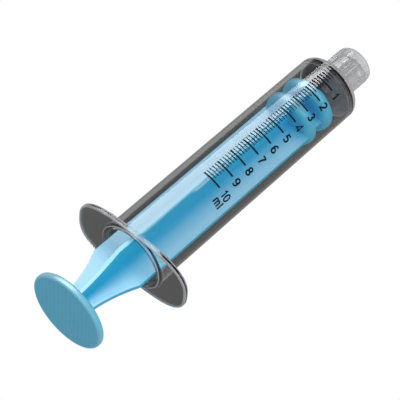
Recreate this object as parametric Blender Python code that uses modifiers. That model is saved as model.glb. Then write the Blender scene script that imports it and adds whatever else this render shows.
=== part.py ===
"""A 10 ml oral syringe lying along +X, tip forward, graduated side up.

Five pieces: a clear barrel with its finger flange and luer nozzle, a threaded luer-lock collar, a
four-ribbed plunger rod with its thumb rest, and two soft seal rings on the rod's piston discs.
Units are metres. The origin is on the surface that the syringe lies on, below its middle.

Every piece is modelled with the syringe's axis along its own Z, tip up, and parented to an empty
that lays this axis along world X. Stations along the axis are therefore world X coordinates.
"""

import math

import bmesh
import bpy
from mathutils import Matrix

MM = 0.001
STEPS = 48  # sides of a turned piece
GAP = 0.3 * MM  # running clearance between pieces

# Whole syringe
LENGTH = 106.8 * MM
TAIL = -LENGTH / 2  # outer face of the thumb rest
NOSE = LENGTH / 2  # end rim of the collar

# Barrel tube: the bore makes 1 ml every 4.73 mm
BARREL_R = 9.1 * MM
BORE_R = 8.2 * MM
FRONT = 42.8 * MM  # outer face of the front wall
CHAMBER_END = 41.2 * MM  # inner face of the front wall
CHAMBER_ROUND = 1.9 * MM
SHOULDER_ROUND = 1.1 * MM

# Finger flange and mouth
FLANGE_BACK = -31.6 * MM
FLANGE_THICK = 1.4 * MM
FLANGE_HALF_LONG = 17.0 * MM
FLANGE_HALF_SHORT = 9.4 * MM
FLANGE_POWER = 2.8  # exponent of the oval, where 2 would be an ellipse
FLANGE_ROUND = 0.45 * MM
FLANGE_HOLE_R = (BARREL_R + BORE_R) / 2  # the flange blank ends inside the tube's wall
MOUTH_LIP = 0.25 * MM  # how far the mouth stands out of the flange
BEAD_R = 7.75 * MM  # inner radius of the bead that keeps the seals in

# Luer nozzle, a 6 percent taper
NOZZLE_TIP = 52.7 * MM
NOZZLE_TIP_R = 1.98 * MM
NOZZLE_BORE_R = 1.0 * MM
LUER_TAPER = 0.03  # radius gained per unit of length
BOSS_R = 3.2 * MM
BOSS_TOP = 44.6 * MM

# Luer-lock collar
COLLAR_R = 5.1 * MM
COLLAR_INNER_R = 4.0 * MM
COLLAR_FOOT = FRONT + GAP
COLLAR_FLOOR = 44.4 * MM
COLLAR_FOOT_R = 5.7 * MM
COLLAR_ROUND = 0.4 * MM
GRIP_RIBS = 20
GRIP_HEIGHT = 0.15 * MM
THREAD_STARTS = 2
THREAD_LEAD = 5.0 * MM
THREAD_TURNS = 1.1
THREAD_FOOT = 46.4 * MM
THREAD_R = 0.5 * MM

# Plunger rod
THUMB_R = 10.7 * MM
THUMB_THICK = 1.8 * MM
THUMB_ROUND = 0.7 * MM
RIB_R = 7.25 * MM
RIB_THICK = 1.2 * MM
HEEL_THICK = 1.5 * MM  # the ribs are thicker where they flare to the thumb rest
HEEL_INSET = 0.3 * MM
HEEL_END = -35.0 * MM
FLARE_START = -36.3 * MM
WAIST_R = 3.3 * MM
NECK_R = 6.2 * MM
NECK_CORE_R = 4.5 * MM

# Piston: two discs, each with a seal ring round its rim
REAR_DISC = 27.0 * MM
FRONT_DISC = 33.5 * MM
HUB_R = 4.9 * MM
RIM_R = 6.3 * MM
RIM_HALF = 0.8 * MM
RING_R = BORE_R - GAP
RING_HALF = 1.8 * MM
RING_LIP_R = HUB_R + GAP

BLUE = (0.30, 0.62, 0.84)
SEAL_BLUE = (0.27, 0.58, 0.81)
SMOKE = (0.20, 0.21, 0.23)
CLEAR = (0.78, 0.79, 0.81)


def clear_scene():
    for old in list(bpy.data.objects):
        bpy.data.objects.remove(old, do_unlink=True)


def new_collection(name):
    collection = bpy.data.collections.new(name)
    bpy.context.scene.collection.children.link(collection)
    return collection


def plastic(name, colour, roughness, clearness=0.0):
    made = bpy.data.materials.new(name)
    made.use_nodes = True
    shader = made.node_tree.nodes["Principled BSDF"]
    shader.inputs["Base Color"].default_value = (*colour, 1.0)
    shader.inputs["Roughness"].default_value = roughness
    shader.inputs["Metallic"].default_value = 0.0
    shader.inputs["Transmission Weight"].default_value = clearness
    return made


def add_object(name, mesh, collection):
    made = bpy.data.objects.new(name, mesh)
    collection.objects.link(made)
    made.parent = axis
    return made


def arc(centre_r, centre_z, radius, start, end, count):
    """Points of an arc in the (r, z) plane, with angles in degrees from +r towards +z."""
    points = []
    for i in range(count + 1):
        angle = math.radians(start + (end - start) * i / count)
        points.append((centre_r + radius * math.cos(angle), centre_z + radius * math.sin(angle)))
    return points


def turned(name, profile, collection, closed=True):
    """Turns (r, z) points, which run down the outer side, about the axis."""
    mesh = bpy.data.meshes.new(name)
    count = len(profile)
    edges = [(i, i + 1) for i in range(count - 1)]
    if closed:
        edges.append((count - 1, 0))
    mesh.from_pydata([(r, 0, z) for r, z in profile], edges, [])
    made = add_object(name, mesh, collection)
    screw = made.modifiers.new("turn", "SCREW")
    screw.axis = "Z"
    screw.angle = math.tau
    screw.steps = STEPS
    screw.render_steps = STEPS
    screw.use_merge_vertices = True
    screw.merge_threshold = 1e-6
    return made


def mesh_from_curve(name, curve, collection):
    """Replaces a curve by the closed mesh that it makes, so that Booleans take it."""
    sketch = bpy.data.objects.new(name + "_sketch", curve)
    collection.objects.link(sketch)
    bpy.context.view_layer.update()
    graph = bpy.context.evaluated_depsgraph_get()
    mesh = bpy.data.meshes.new_from_object(sketch.evaluated_get(graph))
    mesh.name = name
    bpy.data.objects.remove(sketch, do_unlink=True)
    cage = bmesh.new()
    cage.from_mesh(mesh)
    bmesh.ops.remove_doubles(cage, verts=cage.verts, dist=1e-7)
    bmesh.ops.recalc_face_normals(cage, faces=cage.faces)
    cage.to_mesh(mesh)
    cage.free()
    return add_object(name, mesh, collection)


def plate(name, outline, thickness, collection):
    """A flat plate of the (x, y) outline, thick along Z and centred on Z = 0."""
    curve = bpy.data.curves.new(name, "CURVE")
    curve.dimensions = "2D"
    curve.fill_mode = "BOTH"
    curve.extrude = thickness / 2
    spline = curve.splines.new("POLY")
    spline.points.add(len(outline) - 1)
    for point, (x, y) in zip(spline.points, outline):
        point.co = (x, y, 0, 1)
    spline.use_cyclic_u = True
    return mesh_from_curve(name, curve, collection)


def unite(target, tools):
    """Joins hidden tool objects to the target with Boolean unions."""
    for tool in tools:
        modifier = target.modifiers.new("join_" + tool.name, "BOOLEAN")
        modifier.operation = "UNION"
        modifier.solver = "EXACT"
        modifier.use_self = True
        modifier.object = tool


def finish_piece(piece, surface):
    piece.data.materials.clear()
    piece.data.materials.append(surface)
    if piece.data.polygons:
        piece.data.shade_smooth()
        piece.data.set_sharp_from_angle(angle=math.radians(30))


def barrel_profile():
    """The wall's section: down the nozzle and the tube outside, and up the bore inside."""
    nozzle_root_r = NOZZLE_TIP_R + LUER_TAPER * (NOZZLE_TIP - BOSS_TOP)
    lip = FLANGE_BACK - MOUTH_LIP
    outside = [
        (NOZZLE_TIP_R - 0.15 * MM, NOZZLE_TIP),
        (NOZZLE_TIP_R, NOZZLE_TIP - 0.2 * MM),
        (nozzle_root_r, BOSS_TOP),
        (BOSS_R, BOSS_TOP),
        (BOSS_R, FRONT),
    ]
    outside += arc(BARREL_R - SHOULDER_ROUND, FRONT - SHOULDER_ROUND, SHOULDER_ROUND, 90, 0, 4)
    outside += [(BARREL_R, lip + 0.2 * MM), (BARREL_R - 0.2 * MM, lip)]
    bead = [
        (BORE_R + 0.05 * MM, lip),
        (BEAD_R, lip + 0.7 * MM),
        (BEAD_R, lip + 1.2 * MM),
        (BORE_R, lip + 2.0 * MM),
    ]
    chamber = arc(BORE_R - CHAMBER_ROUND, CHAMBER_END - CHAMBER_ROUND, CHAMBER_ROUND, 0, 90, 5)
    bore = [
        (NOZZLE_BORE_R + 0.6 * MM, CHAMBER_END),
        (NOZZLE_BORE_R, CHAMBER_END + 0.6 * MM),
        (NOZZLE_BORE_R, NOZZLE_TIP),
    ]
    return outside + bead + chamber + bore


def flange_outline():
    """The oval of the finger flange: its long axis lies along the pieces' own X."""
    points = []
    for i in range(STEPS):
        angle = math.tau * i / STEPS
        across, up = math.cos(angle), math.sin(angle)
        points.append(
            (
                math.copysign(FLANGE_HALF_LONG * abs(across) ** (2 / FLANGE_POWER), across),
                math.copysign(FLANGE_HALF_SHORT * abs(up) ** (2 / FLANGE_POWER), up),
            )
        )
    return points


def make_barrel():
    barrel = turned("barrel", barrel_profile(), parts)
    flange = plate("flange_blank", flange_outline(), FLANGE_THICK, tools)
    flange.location.z = FLANGE_BACK + FLANGE_THICK / 2
    rounding = flange.modifiers.new("round_rim", "BEVEL")
    rounding.width = FLANGE_ROUND
    rounding.segments = 2
    rounding.limit_method = "ANGLE"
    rounding.angle_limit = math.radians(50)
    reach = FLANGE_THICK
    outline = [(0, reach), (FLANGE_HOLE_R, reach), (FLANGE_HOLE_R, -reach), (0, -reach)]
    hole = turned("flange_hole", outline, tools, closed=False)
    hole.location.z = FLANGE_BACK + FLANGE_THICK / 2
    cut = flange.modifiers.new("hole", "BOOLEAN")
    cut.operation = "DIFFERENCE"
    cut.solver = "EXACT"
    cut.object = hole
    unite(barrel, [flange])
    return barrel


def collar_profile():
    """The section of the collar's plain wall, from the end rim down to the foot and up inside."""
    outside = arc(COLLAR_R - COLLAR_ROUND, NOSE - COLLAR_ROUND, COLLAR_ROUND, 90, 0, 3)
    flare = COLLAR_FOOT_R - COLLAR_R
    outside += arc(COLLAR_FOOT_R, COLLAR_FOOT + 0.3 * MM + flare, flare, 180, 270, 3)
    foot = [(COLLAR_FOOT_R, COLLAR_FOOT), (BOSS_R + GAP, COLLAR_FOOT)]
    inside = [
        (BOSS_R + GAP, COLLAR_FLOOR),
        (COLLAR_INNER_R, COLLAR_FLOOR),
        (COLLAR_INNER_R, NOSE),
    ]
    return outside + foot + inside


def grip_outline():
    """A ring outline with shallow axial grip ribs round it."""
    points = []
    root_r = COLLAR_R - 0.05 * MM
    crest_r = COLLAR_R + GRIP_HEIGHT
    for i in range(GRIP_RIBS):
        for share, radius in ((-0.30, root_r), (-0.14, crest_r), (0.14, crest_r), (0.30, root_r)):
            angle = math.tau * (i + share) / GRIP_RIBS
            points.append((radius * math.cos(angle), radius * math.sin(angle)))
    return points


def thread_ridge(start):
    """One start of the female luer-lock thread, a round ridge half sunk in the wall."""
    curve = bpy.data.curves.new("thread_ridge", "CURVE")
    curve.dimensions = "3D"
    curve.bevel_depth = THREAD_R
    curve.bevel_resolution = 2
    curve.use_fill_caps = True
    count = round(24 * THREAD_TURNS)
    spline = curve.splines.new("POLY")
    spline.points.add(count)
    for i, point in enumerate(spline.points):
        turn = THREAD_TURNS * i / count
        angle = math.tau * (turn + start / THREAD_STARTS)
        radius = COLLAR_INNER_R + 0.04 * MM
        point.co = (radius * math.cos(angle), radius * math.sin(angle), THREAD_FOOT + THREAD_LEAD * turn, 1)
    return mesh_from_curve(f"thread_ridge_{start}", curve, tools)


def make_collar():
    collar = turned("luer_lock_collar", collar_profile(), parts)
    foot, top = COLLAR_FLOOR + 0.6 * MM, NOSE - 1.0 * MM
    grip = plate("grip_ribs", grip_outline(), top - foot, tools)
    grip.location.z = (foot + top) / 2
    inner, reach = (COLLAR_INNER_R + COLLAR_R) / 2, top - foot
    outline = [(0, reach), (inner, reach), (inner, -reach), (0, -reach)]
    hollow = turned("grip_hollow", outline, tools, closed=False)
    hollow.location.z = grip.location.z
    cut = grip.modifiers.new("hollow", "BOOLEAN")
    cut.operation = "DIFFERENCE"
    cut.solver = "EXACT"
    cut.object = hollow
    unite(collar, [grip] + [thread_ridge(start) for start in range(THREAD_STARTS)])
    return collar


def flare_points(count=8):
    """The hollow curve of a rib's edge from the thumb rest out to full height, as (z, r)."""
    foot = (TAIL + THUMB_THICK - 0.3 * MM, WAIST_R)
    pull = (-44.0 * MM, 3.75 * MM)
    top = (FLARE_START, RIB_R)
    points = []
    for i in range(count + 1):
        t = i / count
        weights = ((1 - t) ** 2, 2 * t * (1 - t), t * t)
        points.append(tuple(sum(w * p[k] for w, p in zip(weights, (foot, pull, top))) for k in (0, 1)))
    return points


def rib_outline():
    """Half height of a rib pair along the axis, as (z, r): flare, shaft, and neck between the discs."""
    shaft_end = REAR_DISC - RING_HALF - GAP
    neck_start, neck_end = REAR_DISC + RING_HALF + GAP, FRONT_DISC - RING_HALF - GAP
    edge = flare_points()
    edge += [(shaft_end, RIB_R), (shaft_end, NECK_CORE_R), (neck_start, NECK_CORE_R)]
    edge += [(neck_start, NECK_R), (neck_end, NECK_R), (neck_end, NECK_CORE_R)]
    edge += [(FRONT_DISC, NECK_CORE_R)]
    return edge


def mirrored_outline(edge):
    """The closed outline of a plate that is symmetric about the axis, with the axis along Y."""
    return [(r, z) for z, r in edge] + [(-r, z) for z, r in reversed(edge)]


def rib_pair(name, outline, thickness, turn):
    """A plate through the axis: two opposite ribs of the shaft."""
    ribs = plate(name, outline, thickness, tools)
    ribs.data.transform(Matrix.Rotation(turn, 4, "Z") @ Matrix.Rotation(math.pi / 2, 4, "X"))
    return ribs


def piston_disc(name, station):
    """A disc with a thick hub and a thinner rim, which the seal ring grips."""
    profile = [
        (0, RING_HALF),
        (HUB_R, RING_HALF),
        (HUB_R, RIM_HALF),
        (RIM_R, RIM_HALF),
        (RIM_R, -RIM_HALF),
        (HUB_R, -RIM_HALF),
        (HUB_R, -RING_HALF),
        (0, -RING_HALF),
    ]
    disc = turned(name, profile, tools, closed=False)
    disc.location.z = station
    return disc


def make_plunger_rod():
    inner = TAIL + THUMB_THICK
    profile = [(0, inner)]
    profile += arc(THUMB_R - THUMB_ROUND, inner - THUMB_ROUND, THUMB_ROUND, 90, 0, 3)
    profile += arc(THUMB_R - THUMB_ROUND, TAIL + THUMB_ROUND, THUMB_ROUND, 0, -90, 3)
    profile += [(0, TAIL)]
    rod = turned("plunger_rod", profile, parts, closed=False)
    shaft = rib_outline()
    heel = [(z, r - HEEL_INSET) for z, r in flare_points() + [(HEEL_END, RIB_R)]]
    pieces = []
    for label, turn in (("level", 0.0), ("upright", math.pi / 2)):
        pieces.append(rib_pair("ribs_" + label, mirrored_outline(shaft), RIB_THICK, turn))
        pieces.append(rib_pair("heel_" + label, mirrored_outline(heel), HEEL_THICK, turn))
    pieces += [piston_disc("rear_disc", REAR_DISC), piston_disc("front_disc", FRONT_DISC)]
    unite(rod, pieces)
    return rod


def make_seal_ring(name, station):
    """A soft ring with a round crown and two lips that hold the disc's rim between them."""
    crown_r = RING_R - RING_HALF
    groove_half = RIM_HALF + GAP
    groove_r = RIM_R + GAP
    profile = [(RING_LIP_R, RING_HALF)]
    profile += arc(crown_r, 0, RING_HALF, 90, -90, 10)
    profile += [
        (RING_LIP_R, -RING_HALF),
        (RING_LIP_R, -groove_half),
        (groove_r, -groove_half),
        (groove_r, groove_half),
        (RING_LIP_R, groove_half),
    ]
    ring = turned(name, profile, parts)
    ring.location.z = station
    return ring


clear_scene()
parts = new_collection("oral_syringe")
tools = new_collection("cutters")
axis = bpy.data.objects.new("syringe_axis", None)
parts.objects.link(axis)
# The pieces' own X, Y and Z lie along world Y, Z and X, so the rib pairs lie level and upright.
axis.matrix_world = Matrix(((0, 0, 1, 0), (1, 0, 0, 0), (0, 1, 0, THUMB_R), (0, 0, 0, 1)))

finish_piece(make_barrel(), plastic("smoke_clear_plastic", SMOKE, 0.05, 0.9))
finish_piece(make_collar(), plastic("clear_plastic", CLEAR, 0.15, 0.8))
finish_piece(make_plunger_rod(), plastic("blue_plastic", BLUE, 0.35))
seal_surface = plastic("blue_elastomer", SEAL_BLUE, 0.45)
for ring_name, ring_station in (("rear_seal_ring", REAR_DISC), ("front_seal_ring", FRONT_DISC)):
    finish_piece(make_seal_ring(ring_name, ring_station), seal_surface)
for tool in tools.objects:
    tool.hide_render = True
    tool.display_type = "WIRE"
tools.hide_render = True
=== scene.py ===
"""Looks for the 10 ml oral syringe: fine meshes of the CAD pieces, the printed scale, materials and light."""

import math

import bmesh
import bpy
import numpy as np
from mathutils import Matrix, Quaternion, Vector


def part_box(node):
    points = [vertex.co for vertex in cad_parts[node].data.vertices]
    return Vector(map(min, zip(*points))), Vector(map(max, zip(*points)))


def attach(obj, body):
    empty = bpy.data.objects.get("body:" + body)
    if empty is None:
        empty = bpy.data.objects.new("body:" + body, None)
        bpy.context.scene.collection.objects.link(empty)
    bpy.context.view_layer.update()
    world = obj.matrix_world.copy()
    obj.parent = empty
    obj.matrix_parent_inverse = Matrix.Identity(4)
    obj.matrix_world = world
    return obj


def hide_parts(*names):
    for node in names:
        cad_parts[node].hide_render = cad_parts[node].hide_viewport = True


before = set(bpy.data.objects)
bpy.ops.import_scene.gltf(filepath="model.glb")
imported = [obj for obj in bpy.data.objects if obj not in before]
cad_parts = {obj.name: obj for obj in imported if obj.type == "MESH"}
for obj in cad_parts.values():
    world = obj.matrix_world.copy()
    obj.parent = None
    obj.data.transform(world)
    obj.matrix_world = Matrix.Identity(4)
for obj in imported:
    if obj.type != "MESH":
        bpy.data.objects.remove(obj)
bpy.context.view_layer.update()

MM = 0.001

# ---------------------------------------------------------------- stations of the CAD, in millimetres
disc_low, disc_high = (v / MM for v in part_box("plunger_rod"))
TAIL = disc_low.x  # outer face of the thumb rest
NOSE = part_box("luer_lock_collar")[1].x / MM  # end rim of the collar
AXIS_Z = (disc_low.z + disc_high.z) / 2
THUMB_R = (disc_high.z - disc_low.z) / 2

BARREL_R, BORE_R = 9.1, 8.2
FRONT, CHAMBER_END = 42.8, 41.2
SHOULDER_ROUND, CHAMBER_ROUND = 1.1, 1.9
FLANGE_BACK, FLANGE_FRONT = -31.6, -30.2
FLANGE_LONG, FLANGE_SHORT, FLANGE_POWER = 17.0, 9.4, 2.8
FLANGE_ROUND, FLANGE_FILLET, FLANGE_FOOT = 0.45, 0.7, 0.3
MOUTH, MOUTH_ROUND = -31.85, 0.16
BEAD_R = 7.75
NOZZLE_TIP, NOZZLE_TIP_R, NOZZLE_ROOT_R, NOZZLE_BORE_R = 52.7, 1.98, 2.22, 1.0
BOSS_TOP, BOSS_R = 44.6, 3.2
COLLAR_FOOT, COLLAR_FLOOR = 43.1, 44.4
COLLAR_R, COLLAR_INNER_R, COLLAR_FOOT_R, COLLAR_ROUND = 5.1, 4.0, 5.7, 0.4
COLLAR_BORE_R = BOSS_R + 0.3
GRIP_RIBS, GRIP_HEIGHT = 20, 0.15
GRIP_GAP_BELOW, GRIP_GAP_ABOVE = 0.6, 1.0
THREAD_STARTS, THREAD_LEAD, THREAD_TURNS, THREAD_FOOT = 2, 5.0, 1.1, 46.4
THREAD_HALF, THREAD_CREST = 0.62, 0.46  # half the ridge's width, and its height
THREAD_FADE = 0.06  # of a turn, at each end
THUMB_THICK, THUMB_ROUND = 1.8, 0.7
GROOVE_PITCH, GROOVE_WIDE, GROOVE_DEEP = 1.25, 0.3, 0.06
GROOVES_EACH_SIDE = 7
GROOVE_MARGIN = 1.15  # plain edge of the thumb face
RIB_R, RIB_THICK = 7.25, 1.2
HEEL_THICK, HEEL_INSET, HEEL_END = 1.28, 0.9, -35.0
FLARE_START, WAIST_R = -36.3, 3.3
FLARE_PULL = (-44.0, 3.75)  # middle point of the curve from waist to full width
NECK_R = 6.2
RIB_BEVEL, HEEL_BEVEL = 0.12, 0.06
REAR_DISC, FRONT_DISC = 27.0, 33.5
HUB_R, RIM_R, RIM_HALF = 5.4, 6.5, 0.8
RING_HALF = 1.8
SEAL_R = 7.65
SEAL_PLAY = 0.05  # between a seal ring and its disc
CROWN_STEPS = 32

# ---------------------------------------------------------------- camera
CAMERA_AZIMUTH, CAMERA_ELEVATION, CAMERA_ROLL = -53.35, 52.84, 6.14
CAMERA_TARGET = Vector((-10.7, -2.87, 15.86)) * MM
CAMERA_DISTANCE = 424 * MM
CAMERA_LENS, SENSOR_WIDTH = 160.4, 36


def make_camera():
    a, e = math.radians(CAMERA_AZIMUTH), math.radians(CAMERA_ELEVATION)
    back = Vector((math.sin(a) * math.cos(e), -math.cos(a) * math.cos(e), math.sin(e)))
    data = bpy.data.cameras.new("camera")
    data.lens = CAMERA_LENS
    data.sensor_width = SENSOR_WIDTH
    data.clip_start, data.clip_end = 0.02, 10
    camera = bpy.data.objects.new("camera", data)
    bpy.context.scene.collection.objects.link(camera)
    camera.rotation_mode = "QUATERNION"
    roll = Quaternion((0, 0, 1), math.radians(CAMERA_ROLL))
    camera.rotation_quaternion = back.to_track_quat("Z", "Y") @ roll
    camera.location = CAMERA_TARGET + back * CAMERA_DISTANCE
    bpy.context.scene.camera = camera


make_camera()


# ---------------------------------------------------------------- mesh helpers
def new_object(name, mesh):
    made = bpy.data.objects.new(name, mesh)
    bpy.context.scene.collection.objects.link(made)
    return made


def join_rows(cage, rows, ring=False):
    """Joins rows of vertices, each round one section. A run that isn't a ring is capped at its ends."""
    count = len(rows[0])
    for a, b in zip(rows, rows[1:] + (rows[:1] if ring else [])):
        for k in range(count):
            cage.faces.new((a[k], a[(k + 1) % count], b[(k + 1) % count], b[k]))
    if not ring:
        cage.faces.new(rows[0])
        cage.faces.new(rows[-1])


def finished(cage, mesh):
    """Puts the cage into the mesh, with its faces pointing out."""
    bmesh.ops.recalc_face_normals(cage, faces=cage.faces)
    cage.to_mesh(mesh)
    cage.free()
    return mesh


def shade(mesh, sharp_angle):
    mesh.shade_smooth()
    mesh.set_sharp_from_angle(angle=math.radians(sharp_angle))


ARC_STEP = 11  # degrees between the points of a fillet, at most
STRAIGHT_RUN = 0.04  # beside a fillet


def rounded(points):
    """The (x, r) points of a section, with an arc and short straight runs at each (x, r, fillet) corner."""
    out = []
    for i, (x, r, fillet) in enumerate(points):
        here = Vector((x, r))
        if not fillet or i in (0, len(points) - 1):
            out.append(here)
            continue
        before, after = (Vector(points[j][:2]) for j in (i - 1, i + 1))
        a, b = (before - here).normalized(), (after - here).normalized()
        half = a.angle(b) / 2
        reach = fillet / math.tan(half)
        middle = here + (a + b).normalized() * (fillet / math.sin(half))
        start, end = here + a * reach - middle, here + b * reach - middle
        turn = start.angle_signed(end)
        steps = max(2, math.ceil(abs(turn) / math.radians(ARC_STEP)))
        edge = min(STRAIGHT_RUN, fillet / 4)
        out.append(here + a * (reach + edge))
        for k in range(steps + 1):
            cos, sin = math.cos(-turn * k / steps), math.sin(-turn * k / steps)
            out.append(middle + Vector((start.x * cos - start.y * sin, start.x * sin + start.y * cos)))
        out.append(here + b * (reach + edge))
    return [(p.x, p.y) for p in out]


def polar(sides):
    return np.arange(sides) * math.tau / sides


def quarter(count, start=0):
    """Angles of a quarter turn from start degrees, in count steps."""
    return [math.radians(start + 90 * k / count) for k in range(count + 1)]


def lathe(name, rings, sides, closed=True):
    """Turns rings about the syringe's axis. A ring is (x, r), each a number or an array with one per side."""
    angles = polar(sides)
    verts, starts = [], []
    for x, r in rings:
        starts.append(len(verts))
        if np.ndim(r) == 0 and r < 1e-6:
            verts.append((x, 0, AXIS_Z))
            continue
        r = np.broadcast_to(r, sides)
        x = np.broadcast_to(x, sides)
        verts += list(zip(x, r * np.cos(angles), AXIS_Z + r * np.sin(angles)))
    starts.append(len(verts))
    sizes = np.diff(starts)
    faces = []
    pairs = [(i, i + 1) for i in range(len(rings) - 1)]
    if closed:
        pairs.append((len(rings) - 1, 0))
    for i, j in pairs:
        a, b = starts[i], starts[j]
        for k in range(sides):
            n = (k + 1) % sides
            if sizes[i] == 1:
                faces.append((a, b + n, b + k))
            elif sizes[j] == 1:
                faces.append((a + k, a + n, b))
            else:
                faces.append((a + k, a + n, b + n, b + k))
    mesh = bpy.data.meshes.new(name)
    mesh.from_pydata([tuple(np.array(v) * MM) for v in verts], [], faces)
    cage = bmesh.new()
    cage.from_mesh(mesh)
    shade(finished(cage, mesh), 30)
    return new_object(name, mesh)


# ---------------------------------------------------------------- barrel shell
def flange_radius(sides):
    t = polar(sides)
    across, up = np.abs(np.cos(t) / FLANGE_LONG), np.abs(np.sin(t) / FLANGE_SHORT)
    return (across**FLANGE_POWER + up**FLANGE_POWER) ** (-1 / FLANGE_POWER)


def make_barrel_shell():
    """The barrel in one closed turn. Material 1 is its frost-like edges, whose light grey also paints in the
    silver highlights on them, and 2 the matte front wall.
    """
    sides = 256
    rim = flange_radius(sides)
    # Roundings are less where the oval is hardly wider than the tube
    soft = np.minimum(FLANGE_ROUND, (rim - BARREL_R) * 0.8)
    fillet = np.minimum(FLANGE_FILLET, (rim - soft - BARREL_R) * 0.6)
    foot = np.minimum(FLANGE_FOOT, (rim - soft - BARREL_R) * 0.4)
    rings = rounded(
        [
            (NOZZLE_TIP, NOZZLE_BORE_R, 0.12),
            (NOZZLE_TIP, NOZZLE_TIP_R, 0.2),
            (BOSS_TOP, NOZZLE_ROOT_R, 0.3),
            (BOSS_TOP, BOSS_R, 0.25),
            (FRONT, BOSS_R, 0.35),
            (FRONT, BARREL_R, SHOULDER_ROUND),
            (FRONT - 1.5, BARREL_R, 0),
            (FLANGE_FRONT + 2, BARREL_R, 0),
        ]
    )
    # Frost-like bands on the shoulder, flange rim and mouth: partly a dull finish and partly painted
    # highlights on the rounded edges
    in_shoulder = [x > FRONT - 1.6 and r > BARREL_R - SHOULDER_ROUND - 0.1 for x, r in rings]
    frost_and_highlight = {i for i, inside in enumerate(in_shoulder) if inside}
    frost_and_highlight.remove(max(frost_and_highlight))  # a ring's number stands for the band from it to the next ring
    # Flange: fillet, front face, rounded rim, back face
    for t in quarter(8):
        rings.append((FLANGE_FRONT + fillet * (1 - math.sin(t)), BARREL_R + fillet * (1 - math.cos(t))))
    rings.append((FLANGE_FRONT, rim - soft - 0.05))
    for corner, way, start in ((FLANGE_FRONT, -1, 0), (FLANGE_BACK, 1, 90)):
        frost_and_highlight |= {len(rings) + k for k in range(6)}
        for t in quarter(6, start):
            rings.append((corner + way * soft + soft * math.cos(t), rim - soft + soft * math.sin(t)))
    rings.append((FLANGE_BACK, rim - soft - 0.05))
    rings.append((FLANGE_BACK, BARREL_R + foot))
    rings.append((FLANGE_BACK, BARREL_R + 0.02))
    inside = rounded(
        [
            (FLANGE_BACK - 0.02, BARREL_R, 0),
            (MOUTH, BARREL_R, MOUTH_ROUND),
            (MOUTH, BORE_R + 0.1, 0.14),
            (MOUTH + 0.6, BEAD_R, 0.25),
            (MOUTH + 1.3, BEAD_R, 0.3),
            (MOUTH + 2.0, BORE_R, 0.6),
            (CHAMBER_END, BORE_R, CHAMBER_ROUND),
            (CHAMBER_END, NOZZLE_BORE_R + 0.3, 0.5),
            (CHAMBER_END + 0.8, NOZZLE_BORE_R, 0.4),
            (CHAMBER_END + 3.5, NOZZLE_BORE_R, 0),
            (NOZZLE_TIP - 0.2, NOZZLE_BORE_R, 0),
        ]
    )
    corner_end = BARREL_R - MOUTH_ROUND - STRAIGHT_RUN / 2
    matte_start, matte_end = CHAMBER_END - 0.35 * CHAMBER_ROUND, CHAMBER_END + 3
    frost_and_highlight |= {len(rings) + i for i, (x, r) in enumerate(inside) if i > 0 and r > corner_end}
    matte = {len(rings) + i for i, (x, r) in enumerate(inside) if matte_start < x < matte_end}
    rings += inside
    shell = lathe("barrel_shell", rings, sides)
    for face in shell.data.polygons:
        ring = face.index // sides
        face.material_index = 1 if ring in frost_and_highlight else 2 if ring in matte else 0
    return shell


# ---------------------------------------------------------------- collar
def thread_height(x, sides):
    """Height of the two-start female luer-lock thread above the collar's inner wall."""
    t = polar(sides)
    height = np.zeros(sides)
    for start in range(THREAD_STARTS):
        for lap in range(-1, 3):
            turn = t / math.tau - start / THREAD_STARTS + lap
            away = np.abs(x - (THREAD_FOOT + THREAD_LEAD * turn)) / THREAD_HALF
            fade = np.clip(np.minimum(turn, THREAD_TURNS - turn) / THREAD_FADE, 0, 1)
            ridge = THREAD_CREST * np.cos(np.clip(away, 0, 1) * math.pi / 2) ** 1.3 * fade
            height = np.maximum(height, ridge)
    return height


def make_collar():
    sides = 320
    rib = np.clip((np.cos(polar(sides) * GRIP_RIBS) + 0.2) / 0.3, 0, 1)
    rib = rib * rib * (3 - 2 * rib) * GRIP_HEIGHT
    flare = COLLAR_FOOT_R - COLLAR_R
    flare_start = COLLAR_FOOT + 0.3
    foot = [
        (COLLAR_FOOT, COLLAR_BORE_R, 0),
        (COLLAR_FOOT, COLLAR_FOOT_R, 0.12),
        (flare_start, COLLAR_FOOT_R, 0.08),
    ]
    rings = rounded(foot)
    for t in quarter(6)[1:]:
        rings.append((flare_start + flare * math.sin(t), COLLAR_FOOT_R - flare * (1 - math.cos(t))))
    # The ribs rise and fall over a short slope at each end
    slope = ((-0.1, 0), (0, 0.25), (0.12, 0.75), (0.25, 1))
    low, high = COLLAR_FLOOR + GRIP_GAP_BELOW, NOSE - GRIP_GAP_ABOVE
    for x, share in [(low + d, s) for d, s in slope] + [(high - d, s) for d, s in reversed(slope)]:
        rings.append((x, COLLAR_R + rib * share))
    for t in quarter(6):
        rings.append((NOSE - COLLAR_ROUND * (1 - math.sin(t)), COLLAR_R - COLLAR_ROUND * (1 - math.cos(t))))
    rings.append((NOSE, COLLAR_INNER_R + 0.25))
    rings.append((NOSE - 0.08, COLLAR_INNER_R + 0.08))
    for x in np.linspace(NOSE - 0.3, COLLAR_FLOOR + 0.15, 60):
        rings.append((x, COLLAR_INNER_R - thread_height(x, sides)))
    floor = [
        (COLLAR_FLOOR + 0.1, COLLAR_INNER_R, 0),
        (COLLAR_FLOOR, COLLAR_INNER_R - 0.1, 0),
        (COLLAR_FLOOR, COLLAR_BORE_R, 0.1),
        (COLLAR_FOOT + 0.1, COLLAR_BORE_R, 0),
    ]
    rings += rounded(floor)
    return lathe("collar_shell", rings, sides)


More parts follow.
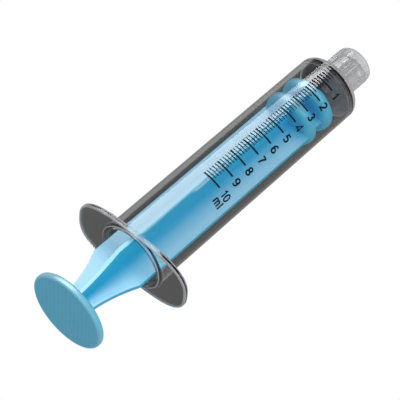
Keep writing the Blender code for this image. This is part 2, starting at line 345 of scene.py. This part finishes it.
# ---------------------------------------------------------------- plunger rod
def slab(name, outline, thickness, bevel):
    """A plate of the (x, r) outline through the axis, with its edges rounded. It lies level."""
    cage = bmesh.new()
    loop = [cage.verts.new((x * MM, r * MM, (AXIS_Z - thickness / 2) * MM)) for x, r in outline]
    face = cage.faces.new(loop)
    lifted = bmesh.ops.extrude_face_region(cage, geom=[face])
    top = [v for v in lifted["geom"] if isinstance(v, bmesh.types.BMVert)]
    bmesh.ops.translate(cage, verts=top, vec=(0, 0, thickness * MM))
    bmesh.ops.recalc_face_normals(cage, faces=cage.faces)
    flat = [e for e in cage.edges if len({round(v.co.z, 7) for v in e.verts}) == 1]
    bmesh.ops.bevel(cage, geom=flat, offset=bevel * MM, segments=3, profile=0.5, affect="EDGES")
    mesh = bpy.data.meshes.new(name)
    cage.to_mesh(mesh)
    cage.free()
    return new_object(name, mesh)


def flare(count=22):
    """Edge of a rib from inside the thumb rest to where it is full width, a curve drawn by three points."""
    pulls = ((TAIL + THUMB_THICK - 0.5, WAIST_R + 0.15), FLARE_PULL, (FLARE_START, RIB_R))
    points = []
    for i in range(count + 1):
        t = i / count
        weights = ((1 - t) ** 2, 2 * t * (1 - t), t * t)
        points.append(tuple(sum(w * p[k] for w, p in zip(weights, pulls)) for k in (0, 1)))
    return points


def both_sides(edge):
    return list(edge) + [(x, -r) for x, r in reversed(edge)]


def quarter_turned(piece):
    """A copy of the piece turned a quarter turn about the axis."""
    mesh = piece.data.copy()
    centre = Matrix.Translation((0, 0, AXIS_Z * MM))
    mesh.transform(centre @ Matrix.Rotation(math.pi / 2, 4, "X") @ centre.inverted())
    return new_object(piece.name + "_upright", mesh)


WELD = 0.0005  # points nearer than this are joined


def combine(name, base, operation, tools):
    """Applies Booleans to base one after the other and removes the tools."""
    for tool in tools:
        modifier = base.modifiers.new(tool.name, "BOOLEAN")
        modifier.operation = operation
        modifier.solver = "MANIFOLD"
        modifier.object = tool
    bpy.context.view_layer.update()
    graph = bpy.context.evaluated_depsgraph_get()
    mesh = bpy.data.meshes.new_from_object(base.evaluated_get(graph))
    cage = bmesh.new()
    cage.from_mesh(mesh)
    bmesh.ops.remove_doubles(cage, verts=cage.verts, dist=WELD * MM)
    bmesh.ops.dissolve_degenerate(cage, edges=cage.edges, dist=WELD * MM)
    cage.to_mesh(mesh)
    cage.free()
    base.modifiers.clear()
    base.data = mesh
    for tool in tools:
        bpy.data.objects.remove(tool, do_unlink=True)
    base.name = mesh.name = name
    return base


def groove_cutter(i):
    """The bar that cuts one fine groove, a shallow round channel down the thumb face."""
    y = i * GROOVE_PITCH
    half = math.sqrt((THUMB_R - GROOVE_MARGIN) ** 2 - y * y)
    side = [(0.5 * GROOVE_WIDE, -0.3), (0.5 * GROOVE_WIDE, 0.0), (0.28 * GROOVE_WIDE, 0.75 * GROOVE_DEEP)]
    section = [(-w, d) for w, d in side] + [(0, GROOVE_DEEP)] + side[::-1]
    cage = bmesh.new()
    rows = []
    for z in (-half, half):
        rows.append([cage.verts.new(((TAIL + d) * MM, (y + w) * MM, (AXIS_Z + z) * MM)) for w, d in section])
    join_rows(cage, rows)
    return new_object(f"groove_{i + GROOVES_EACH_SIDE}", finished(cage, bpy.data.meshes.new("groove")))


def make_thumb_disc():
    face, inner, rim = TAIL, TAIL + THUMB_THICK, THUMB_R - 0.1
    corners = [(inner, 0, 0), (inner, rim, THUMB_ROUND), (face, rim, THUMB_ROUND), (face, 0, 0)]
    disc = lathe("thumb_disc", rounded(corners), 192, closed=False)
    cutters = [groove_cutter(i) for i in range(-GROOVES_EACH_SIDE, GROOVES_EACH_SIDE + 1)]
    return combine("thumb_disc", disc, "DIFFERENCE", cutters)


def make_piston_disc(name, x):
    half = [
        (x + RING_HALF, 0, 0),
        (x + RING_HALF, HUB_R, 0.2),
        (x + RIM_HALF, HUB_R, 0),
        (x + RIM_HALF, RIM_R, 0.05),
    ]
    other_half = [(2 * x - station, r, fillet) for station, r, fillet in reversed(half)]
    return lathe(name, rounded(half + other_half), 128, closed=False)


def make_rod():
    disc = make_thumb_disc()
    shaft = slab("shaft", both_sides(flare() + [(REAR_DISC, RIB_R)]), RIB_THICK, RIB_BEVEL)
    heel_edge = [(x, r - HEEL_INSET) for x, r in flare()] + [(HEEL_END, RIB_R - HEEL_INSET)]
    heel = slab("heel", both_sides(heel_edge), HEEL_THICK, HEEL_BEVEL)
    neck = slab("neck", both_sides([(REAR_DISC - 0.5, NECK_R), (FRONT_DISC, NECK_R)]), RIB_THICK, RIB_BEVEL)
    discs = [make_piston_disc("rear_disc", REAR_DISC), make_piston_disc("front_disc", FRONT_DISC)]
    pieces = [shaft, quarter_turned(shaft), heel, quarter_turned(heel), neck, quarter_turned(neck)] + discs
    rod = combine("plunger", disc, "UNION", pieces)
    shade(rod.data, 35)
    weigh = rod.modifiers.new("flat_faces_stay_flat", "WEIGHTED_NORMAL")
    weigh.keep_sharp = True
    weigh.weight = 100
    return rod


def make_seal(name, x):
    """A round-crowned ring, grooved inside for the rim of its disc."""
    foot, groove_half, groove_r = HUB_R + SEAL_PLAY, RIM_HALF + SEAL_PLAY, RIM_R + SEAL_PLAY
    rings = [(x + RING_HALF, foot)]
    for k in range(CROWN_STEPS + 1):
        t = math.radians(90 - 180 * k / CROWN_STEPS)
        rings.append((x + RING_HALF * math.sin(t), SEAL_R - RING_HALF + RING_HALF * math.cos(t)))
    rings += [(x - RING_HALF, foot), (x - groove_half, foot), (x - groove_half, groove_r)]
    rings += [(x + groove_half, groove_r), (x + groove_half, foot)]
    return lathe(name, rings, 160)


# ---------------------------------------------------------------- printed scale
INK_R = BARREL_R + 0.012
ZERO, PER_ML = 41.1, 4.734
MARKS, MARKS_PER_ML = 51, 5
MARK_START, MARK_STEPS = 89.7, 16
LONG_MARK, LONG_MARK_WIDE = 33.3, 0.5  # an angle round the barrel, and a width along it
SHORT_MARK, SHORT_MARK_WIDE = 18.8, 0.28
FILM = ((-1, 0), (-1, 0.02), (1, 0.02), (1, 0))  # section of the ink, as side and height


def round_barrel(angle):
    """Length of an angle in degrees, measured round the barrel."""
    return BARREL_R * math.radians(angle)


def bend(mesh):
    """Wraps a flat mesh round the barrel: X runs round the barrel, Y along it, and Z is height above it."""
    for v in mesh.vertices:
        u, along, up = v.co.x / MM, v.co.y / MM, v.co.z / MM
        angle = u / BARREL_R
        r = INK_R + up
        v.co = Vector((along, r * math.cos(angle), AXIS_Z + r * math.sin(angle))) * MM


def make_graduations():
    cage = bmesh.new()
    for i in range(MARKS):
        angle, width = (SHORT_MARK, SHORT_MARK_WIDE) if i % MARKS_PER_ML else (LONG_MARK, LONG_MARK_WIDE)
        x = ZERO - PER_ML * i / MARKS_PER_ML
        rows = []
        for k in range(MARK_STEPS + 1):
            u = round_barrel(MARK_START) + round_barrel(angle) * k / MARK_STEPS
            rows.append([cage.verts.new((u * MM, (x + s * width / 2) * MM, h * MM)) for s, h in FILM])
        join_rows(cage, rows)
    mesh = finished(cage, bpy.data.meshes.new("scale_graduations"))
    bend(mesh)
    return new_object("scale_graduations", mesh)


def oval(x, y, rx, ry, start, end, count=16):
    """Points of an elliptical arc, with angles in degrees."""
    angles = [math.radians(start + (end - start) * k / count) for k in range(count + 1)]
    return [(x + rx * math.cos(a), y + ry * math.sin(a)) for a in angles]


# Width of each character and its strokes, as (across, up) in shares of its height
GLYPHS = {
    "0": (0.56, [oval(0.30, 0.5, 0.215, 0.45, 0, 360, 28)]),
    "1": (0.40, [[(0.07, 0.74), (0.19, 0.80), (0.27, 0.95), (0.27, 0.0)]]),
    "2": (
        0.58,
        [oval(0.28, 0.71, 0.22, 0.24, 165, -35) + [(0.30, 0.33), (0.07, 0.12), (0.06, 0.05), (0.53, 0.05)]],
    ),
    "3": (0.58, [oval(0.27, 0.73, 0.19, 0.22, 155, -90), oval(0.27, 0.28, 0.225, 0.235, 90, -155)]),
    "4": (0.60, [[(0.42, 0.0), (0.42, 0.95), (0.03, 0.26), (0.58, 0.26)]]),
    "5": (0.58, [[(0.49, 0.94), (0.15, 0.94), (0.09, 0.50)], oval(0.28, 0.32, 0.225, 0.275, 138, -150)]),
    "6": (0.58, [oval(0.29, 0.30, 0.22, 0.255, 0, 360, 28), oval(0.33, 0.50, 0.26, 0.45, 55, 205)]),
    "7": (
        0.56,
        [[(0.04, 0.94), (0.52, 0.94)], [(0.51, 0.94), (0.38, 0.72), (0.28, 0.46), (0.21, 0.20), (0.18, 0.0)]],
    ),
    "8": (0.58, [oval(0.29, 0.73, 0.185, 0.22, 0, 360, 28), oval(0.29, 0.275, 0.23, 0.235, 0, 360, 28)]),
    "m": (
        0.74,
        [
            [(0.06, 0.0), (0.06, 0.72)],
            oval(0.21, 0.48, 0.14, 0.20, 165, 0) + [(0.35, 0.0)],
            oval(0.50, 0.48, 0.14, 0.20, 165, 0) + [(0.64, 0.0)],
        ],
    ),
    "l": (0.26, [[(0.17, 0.0), (0.17, 1.0)]]),
}
GLYPHS["9"] = (0.58, [[(0.58 - x, 1 - y) for x, y in stroke] for stroke in GLYPHS["6"][1]])
STROKE, FINE_STROKE = 0.185, 0.165  # width of a stroke, in shares of the height
TEXT_HEIGHT, TEXT_GAP = 2.45, 0.05
DIGIT_ANGLE, WORD_ANGLE = 133.8, 139.0  # middle of the text, round the barrel
TEN_SHIFT, UNIT_SHIFT = 0.2, -2.5  # of "10" and "ml" along the barrel, from the mark for 10
CUT_STEP = 0.25  # between the cuts that let the letters bend


def stroke_slab(points, height, wide):
    """A thin closed slab that follows the points."""
    ring = points[0] == points[-1] or (Vector(points[0]) - Vector(points[-1])).length < 1e-6
    points = [Vector(p) for p in (points[:-1] if ring else points)]
    count = len(points)
    cage = bmesh.new()
    rows = []
    for i, p in enumerate(points):
        before = points[i - 1] if ring or i else p
        after = points[(i + 1) % count] if ring or i < count - 1 else p
        ways = [(q - r).normalized() for q, r in ((p, before), (after, p)) if (q - r).length > 1e-9]
        way = sum(ways, Vector((0, 0))).normalized()
        side = Vector((-way.y, way.x)) * (wide / 2) / max(0.45, way.dot(ways[0]))
        places = [((p.x + s * side.x) * height, (p.y + s * side.y) * height, h * MM) for s, h in FILM]
        rows.append([cage.verts.new(place) for place in places])
    join_rows(cage, rows, ring)
    return finished(cage, bpy.data.meshes.new("stroke"))


def make_numerals():
    texts = [(str(n), DIGIT_ANGLE, ZERO - PER_ML * n) for n in range(1, 10)]
    ten = ZERO - PER_ML * 10
    texts += [("10", WORD_ANGLE, ten + TEN_SHIFT), ("ml", WORD_ANGLE, ten + UNIT_SHIFT)]
    slabs = []
    for text, angle, x in texts:
        gap = TEXT_GAP if len(text) > 1 else 0
        wide = FINE_STROKE if len(text) > 1 or text == "4" else STROKE
        pen = -(sum(GLYPHS[c][0] + gap for c in text) - gap) / 2
        for character in text:
            width, strokes = GLYPHS[character]
            corner = (pen * TEXT_HEIGHT * MM + round_barrel(angle) * MM, (x - TEXT_HEIGHT / 2) * MM, 0)
            for stroke in strokes:
                mesh = stroke_slab(stroke, TEXT_HEIGHT * MM, wide)
                mesh.transform(Matrix.Translation(corner))
                slabs.append(new_object("stroke", mesh))
            pen += width + gap
    made = combine("scale_numerals", slabs[0], "UNION", slabs[1:])
    cage = bmesh.new()
    cage.from_mesh(made.data)
    low = min(v.co.x for v in cage.verts)
    high = max(v.co.x for v in cage.verts)
    step = CUT_STEP * MM
    for k in range(1, int((high - low) / step)):
        geom = list(cage.verts) + list(cage.edges) + list(cage.faces)
        bmesh.ops.bisect_plane(cage, geom=geom, plane_co=(low + k * step, 0, 0), plane_no=(1, 0, 0))
    cage.to_mesh(made.data)
    cage.free()
    bend(made.data)
    return made


# ---------------------------------------------------------------- materials
SMOKE_IOR = 1.46


def material(name):
    made = bpy.data.materials.new(name)
    made.use_nodes = True
    nodes, links = made.node_tree.nodes, made.node_tree.links
    return made, nodes, links, nodes["Principled BSDF"], nodes["Material Output"]


def noise(nodes, links, where, scale, detail):
    node = nodes.new("ShaderNodeTexNoise")
    node.inputs["Scale"].default_value = scale
    node.inputs["Detail"].default_value = detail
    links.new(where, node.inputs["Vector"])
    return node.outputs["Fac"]


def blotches(nodes, links, source, dark, light, start=0.0, end=1.0):
    """A colour that follows a noise, from dark at start to light at end."""
    ramp = nodes.new("ShaderNodeValToRGB")
    for element, place, colour in zip(ramp.color_ramp.elements, (start, end), (dark, light)):
        element.position, element.color = place, (*colour, 1)
    links.new(source, ramp.inputs[0])
    return ramp.outputs[0]


def ranged(nodes, links, source, low, high):
    node = nodes.new("ShaderNodeMapRange")
    node.inputs["To Min"].default_value = low
    node.inputs["To Max"].default_value = high
    links.new(source, node.inputs["Value"])
    return node.outputs["Result"]


def object_coordinates(nodes):
    return nodes.new("ShaderNodeTexCoord").outputs["Object"]


def bump(nodes, links, source, strength, distance):
    node = nodes.new("ShaderNodeBump")
    node.inputs["Strength"].default_value = strength
    node.inputs["Distance"].default_value = distance
    links.new(source, node.inputs["Height"])
    return node.outputs["Normal"]


def let_light_through(nodes, links, shader, output):
    """Shadow and diffuse rays pass straight through, so that what is inside is lit evenly."""
    path = nodes.new("ShaderNodeLightPath")
    either = nodes.new("ShaderNodeMath")
    either.operation = "MAXIMUM"
    links.new(path.outputs["Is Shadow Ray"], either.inputs[0])
    links.new(path.outputs["Is Diffuse Ray"], either.inputs[1])
    clear = nodes.new("ShaderNodeBsdfTransparent")
    mix = nodes.new("ShaderNodeMixShader")
    links.new(either.outputs[0], mix.inputs[0])
    links.new(shader, mix.inputs[1])
    links.new(clear.outputs[0], mix.inputs[2])
    links.new(mix.outputs[0], output.inputs["Surface"])


def faded(nodes, links, place, start, end, near, far):
    """A value that goes from near to far between two places."""
    fade = nodes.new("ShaderNodeMapRange")
    fade.interpolation_type = "SMOOTHSTEP"
    for socket, value in (("From Min", start), ("From Max", end), ("To Min", near), ("To Max", far)):
        fade.inputs[socket].default_value = value
    links.new(place, fade.inputs["Value"])
    return fade.outputs["Result"]


def distance_from(nodes, links, centre, stretch):
    """Distance in metres from the centre, with each axis multiplied by its stretch."""
    moved = nodes.new("ShaderNodeVectorMath")
    moved.operation = "SUBTRACT"
    moved.inputs[1].default_value = centre
    links.new(object_coordinates(nodes), moved.inputs[0])
    squeezed = nodes.new("ShaderNodeVectorMath")
    squeezed.operation = "MULTIPLY"
    squeezed.inputs[1].default_value = stretch
    links.new(moved.outputs["Vector"], squeezed.inputs[0])
    length = nodes.new("ShaderNodeVectorMath")
    length.operation = "LENGTH"
    links.new(squeezed.outputs["Vector"], length.inputs[0])
    return length.outputs["Value"]


def along_axis(nodes, links, where, start, end, low, high, axis="X"):
    """A value that goes from low to high between two places on an axis, in mm."""
    parts = nodes.new("ShaderNodeSeparateXYZ")
    links.new(where, parts.inputs[0])
    return faded(nodes, links, parts.outputs[axis], start * MM, end * MM, low, high)


def smoke_plastic():
    """Clear with a little smoke in it. Its colour turns nearly black from the chamber's end on, over the
    front wall, shoulder and nozzle.
    """
    made, nodes, links, shader, output = material("smoke_clear_plastic")
    shader.inputs["Transmission Weight"].default_value = 1.0
    shader.inputs["IOR"].default_value = SMOKE_IOR
    shader.inputs["Specular IOR Level"].default_value = 0.3
    where = object_coordinates(nodes)
    # Darker towards the front: nearly black from just behind the chamber's end on
    darker_front = nodes.new("ShaderNodeMix")
    darker_front.data_type = "RGBA"
    darker_front.inputs["A"].default_value = (0.985, 0.988, 0.992, 1)
    darker_front.inputs["B"].default_value = (0.06, 0.06, 0.07, 1)
    darker_front_share = along_axis(nodes, links, where, CHAMBER_END - 0.9, CHAMBER_END - 0.3, 0.0, 1.0)
    links.new(darker_front_share, darker_front.inputs["Factor"])
    links.new(darker_front.outputs["Result"], shader.inputs["Base Color"])
    smudge = noise(nodes, links, where, 180, 3)
    links.new(ranged(nodes, links, smudge, 0.01, 0.045), shader.inputs["Roughness"])
    wave = noise(nodes, links, where, 60, 1)
    links.new(bump(nodes, links, wave, 0.05, 0.4 * MM), shader.inputs["Normal"])
    let_light_through(nodes, links, shader.outputs[0], output)
    tint = nodes.new("ShaderNodeVolumeAbsorption")
    tint.inputs["Color"].default_value = (0.45, 0.46, 0.5, 1)
    tint.inputs["Density"].default_value = 45
    links.new(tint.outputs[0], output.inputs["Volume"])
    return made


def scattering_plastic(name, dark, light, clear, far_side_shade=1.0):
    """The barrel's plastic where the mould left it dull. On the edges its light grey also paints in
    highlights. Its colour is multiplied by far_side_shade towards +Y, a painted shade.
    """
    made, nodes, links, shader, output = material(name)
    shader.inputs["Transmission Weight"].default_value = clear
    shader.inputs["IOR"].default_value = SMOKE_IOR
    where = object_coordinates(nodes)
    cloud = noise(nodes, links, where, 260, 2)
    tone = nodes.new("ShaderNodeVectorMath")
    tone.operation = "SCALE"
    links.new(blotches(nodes, links, cloud, dark, light, 0.3, 0.7), tone.inputs[0])
    # Painted shade: the colour is multiplied down towards +Y by far_side_shade
    links.new(along_axis(nodes, links, where, -2.5, 3.0, 1.0, far_side_shade, "Y"), tone.inputs["Scale"])
    links.new(tone.outputs["Vector"], shader.inputs["Base Color"])
    links.new(ranged(nodes, links, cloud, 0.12, 0.22), shader.inputs["Roughness"])
    let_light_through(nodes, links, shader.outputs[0], output)
    return made


def milky_plastic():
    """Clear with a little haze."""
    made, nodes, links, shader, output = material("clear_plastic")
    shader.inputs["Base Color"].default_value = (0.78, 0.785, 0.80, 1)
    shader.inputs["IOR"].default_value = 1.5
    where = object_coordinates(nodes)
    clearness = along_axis(nodes, links, where, COLLAR_FLOOR, COLLAR_FLOOR + 0.6, 1.0, 0.58)
    links.new(clearness, shader.inputs["Transmission Weight"])
    haze = noise(nodes, links, where, 900, 3)
    links.new(ranged(nodes, links, haze, 0.03, 0.09), shader.inputs["Roughness"])
    links.new(bump(nodes, links, haze, 0.05, 0.1 * MM), shader.inputs["Normal"])
    let_light_through(nodes, links, shader.outputs[0], output)
    return made


def blue_plastic(name, dark, light, rough_low, rough_high):
    """Moulded blue, with a painted sheen: lighter at the thumb rest's rim."""
    made, nodes, links, shader, _ = material(name)
    where = object_coordinates(nodes)
    # Painted sheen: the colour turns lighter at the thumb rest's rim, from 9.7 to 10.4 mm off the axis
    rim_sheen = nodes.new("ShaderNodeMix")
    rim_sheen.data_type = "RGBA"
    rim_sheen.inputs["B"].default_value = (0.17, 0.66, 0.92, 1)
    radius = distance_from(nodes, links, (0, 0, AXIS_Z * MM), (0, 1, 1))
    links.new(faded(nodes, links, radius, 9.7 * MM, 10.4 * MM, 0, 1), rim_sheen.inputs["Factor"])
    cloud = noise(nodes, links, where, 45, 3)
    links.new(blotches(nodes, links, cloud, dark, light, 0.3, 0.7), rim_sheen.inputs["A"])
    links.new(rim_sheen.outputs["Result"], shader.inputs["Base Color"])
    grain = noise(nodes, links, where, 2600, 2)
    links.new(ranged(nodes, links, grain, rough_low, rough_high), shader.inputs["Roughness"])
    links.new(bump(nodes, links, grain, 0.06, 0.06 * MM), shader.inputs["Normal"])
    shader.inputs["IOR"].default_value = 2.0
    shader.inputs["Sheen Weight"].default_value = 0.05
    shader.inputs["Sheen Roughness"].default_value = 0.35
    return made


def ink():
    made, nodes, links, shader, _ = material("printed_ink")
    grain = noise(nodes, links, object_coordinates(nodes), 3000, 2)
    colour = blotches(nodes, links, grain, (0.0015, 0.0022, 0.006), (0.003, 0.004, 0.009))
    links.new(colour, shader.inputs["Base Color"])
    links.new(ranged(nodes, links, grain, 0.45, 0.6), shader.inputs["Roughness"])
    shader.inputs["Specular IOR Level"].default_value = 0.12
    return made


def dress(piece, *surfaces):
    """Gives the piece its materials, and keeps which face uses which."""
    chosen = [face.material_index for face in piece.data.polygons]
    piece.data.materials.clear()
    for surface in surfaces:
        piece.data.materials.append(surface)
    piece.data.polygons.foreach_set("material_index", [min(i, len(surfaces) - 1) for i in chosen])


# ---------------------------------------------------------------- assembly
blue = blue_plastic("blue_plastic", (0.010, 0.52, 0.82), (0.016, 0.55, 0.86), 0.36, 0.44)
rubber = blue_plastic("blue_elastomer", (0.03, 0.58, 0.88), (0.045, 0.61, 0.91), 0.38, 0.46)
smoke, milky, print_ink = smoke_plastic(), milky_plastic(), ink()
# Edge material: its light grey is partly a dull finish and partly painted silver highlights on the rounded
# edges
edges = scattering_plastic("smoke_plastic_edge", (0.62, 0.61, 0.63), (0.84, 0.83, 0.85), 0.38)
# Front wall material: painted shade makes it much darker towards +Y
front_wall = scattering_plastic("smoke_plastic_matte", (0.30, 0.265, 0.28), (0.36, 0.32, 0.335), 0.25, 0.15)

for piece, surfaces, body, node, slot in (
    (make_barrel_shell(), (smoke, edges, front_wall), "barrel", "barrel", "smoke_clear_plastic"),
    (make_collar(), (milky,), "barrel", "luer_lock_collar", "clear_plastic"),
    (make_rod(), (blue,), "plunger_rod", "plunger_rod", "blue_plastic"),
    (make_seal("rear_seal", REAR_DISC), (rubber,), "seals", "rear_seal_ring", "blue_elastomer"),
    (make_seal("front_seal", FRONT_DISC), (rubber,), "seals", "front_seal_ring", "blue_elastomer"),
):
    dress(piece, *surfaces)
    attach(piece, body)
    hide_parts(node)

for piece in (make_graduations(), make_numerals()):
    dress(piece, print_ink)
    piece.visible_shadow = False  # the thin marks leave no shadow on the rod in soft light
    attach(piece, "barrel")


# ---------------------------------------------------------------- floor and light
AMBIENT = 0.41


def light_path_mix(nodes, links, output_name, when_false, when_true):
    path = nodes.new("ShaderNodeLightPath")
    mix = nodes.new("ShaderNodeMixShader")
    links.new(path.outputs[output_name], mix.inputs[0])
    links.new(when_false, mix.inputs[1])
    links.new(when_true, mix.inputs[2])
    return mix.outputs[0]


def glow(nodes, kind, strength):
    node = nodes.new(kind)
    node.inputs["Color"].default_value = (1, 1, 1, 1)
    node.inputs["Strength"].default_value = strength
    return node


def studio(nodes, links, target, kind, fill, mirrored, through):
    """White where it is seen directly. Fill, reflections and the view through plastic differ in strength."""
    shader = glow(nodes, kind, fill).outputs[0]
    shader = light_path_mix(nodes, links, "Is Glossy Ray", shader, mirrored.outputs[0])
    shader = light_path_mix(nodes, links, "Is Transmission Ray", shader, through.outputs[0])
    shader = light_path_mix(nodes, links, "Is Camera Ray", shader, glow(nodes, kind, 1.0).outputs[0])
    links.new(shader, target)


def make_floor():
    mesh = bpy.data.meshes.new("floor")
    side, level = 3.0, -0.5 * MM
    corners = [(x * side, y * side, level) for x, y in ((-1, -1), (1, -1), (1, 1), (-1, 1))]
    mesh.from_pydata(corners, [], [(0, 1, 2, 3)])
    floor = new_object("floor", mesh)
    made = bpy.data.materials.new("floor")
    made.use_nodes = True
    nodes, links = made.node_tree.nodes, made.node_tree.links
    nodes.remove(nodes["Principled BSDF"])
    across = nodes.new("ShaderNodeSeparateXYZ")
    links.new(object_coordinates(nodes), across.inputs[0])
    mirrored = glow(nodes, "ShaderNodeEmission", 1.0)
    links.new(faded(nodes, links, across.outputs["Y"], 0.02, 0.07, 0.5, 1.35), mirrored.inputs["Strength"])
    # Painted shadow and light: seen through plastic, the floor is dark under the barrel, as if shaded by it,
    # and light just ahead of the nozzle and far away
    from_barrel = distance_from(nodes, links, (0, 0, 0), (0.25, 1, 1))
    shadow_under_barrel = faded(nodes, links, from_barrel, 0.012, 0.13, 0.045, 0.35)
    from_tip = distance_from(nodes, links, (0.068, 0.006, 0), (1, 0.7, 1))
    ahead = faded(nodes, links, from_tip, 0.009, 0.017, 0.95, 0.0)
    lighter = nodes.new("ShaderNodeMath")
    lighter.operation = "MAXIMUM"
    links.new(shadow_under_barrel, lighter.inputs[0])
    links.new(ahead, lighter.inputs[1])
    through = glow(nodes, "ShaderNodeEmission", 1.0)
    links.new(lighter.outputs[0], through.inputs["Strength"])
    target = nodes["Material Output"].inputs["Surface"]
    studio(nodes, links, target, "ShaderNodeEmission", AMBIENT, mirrored, through)
    dress(floor, made)


def make_world():
    world = bpy.data.worlds.new("studio")
    world.use_nodes = True
    bpy.context.scene.world = world
    nodes, links = world.node_tree.nodes, world.node_tree.links
    # Reflections see a room that is bright behind the thumb rest and dim ahead of it
    way = nodes.new("ShaderNodeSeparateXYZ")
    links.new(nodes.new("ShaderNodeTexCoord").outputs["Generated"], way.inputs[0])
    mirrored = glow(nodes, "ShaderNodeBackground", 1.0)
    links.new(faded(nodes, links, way.outputs["X"], 0.1, 0.42, 0.9, 0.22), mirrored.inputs["Strength"])
    through = glow(nodes, "ShaderNodeBackground", 0.2)
    target = nodes["World Output"].inputs["Surface"]
    studio(nodes, links, target, "ShaderNodeBackground", AMBIENT, mirrored, through)


def make_light(name, aim, direction, distance, size, power):
    """An area light aimed at a place in mm. The first number of size is its length along the syringe."""
    data = bpy.data.lights.new(name, "AREA")
    data.shape = "RECTANGLE"
    data.size, data.size_y = size
    data.energy = power
    light = bpy.data.objects.new(name, data)
    bpy.context.scene.collection.objects.link(light)
    way = Vector(direction).normalized()
    across = Vector((1, 0, 0)).cross(way).normalized()
    along = across.cross(way)
    light.rotation_mode = "QUATERNION"
    light.rotation_quaternion = Matrix((along, across, way)).transposed().to_quaternion()
    light.location = Vector(aim) * MM + way * distance
    return light


make_floor()
make_world()
sheen = make_light("sheen", (0, 0, 15), (0.07, 0.505, 0.857), 1.0, (1.5, 1.3), 24)
sheen.data.shape = "ELLIPSE"
sheen.visible_diffuse = sheen.visible_transmission = False
fill = make_light("fill", (0, 0, 15), (-0.05, -0.7, 0.72), 1.0, (0.8, 0.8), 3.4)
fill.visible_glossy = False
window = make_light("window", (18, -1.9, 19.6), (0.4846, 0.004, 0.8747), 0.3, (0.051, 0.037), 0.034)
window.visible_diffuse = window.visible_transmission = False
strip = make_light("strip", (38, -0.3, 19.8), (0.568, 0.295, 0.767), 0.3, (0.012, 0.2), 0.03)
strip.visible_diffuse = False

bpy.context.scene.view_settings.view_transform = "Standard"
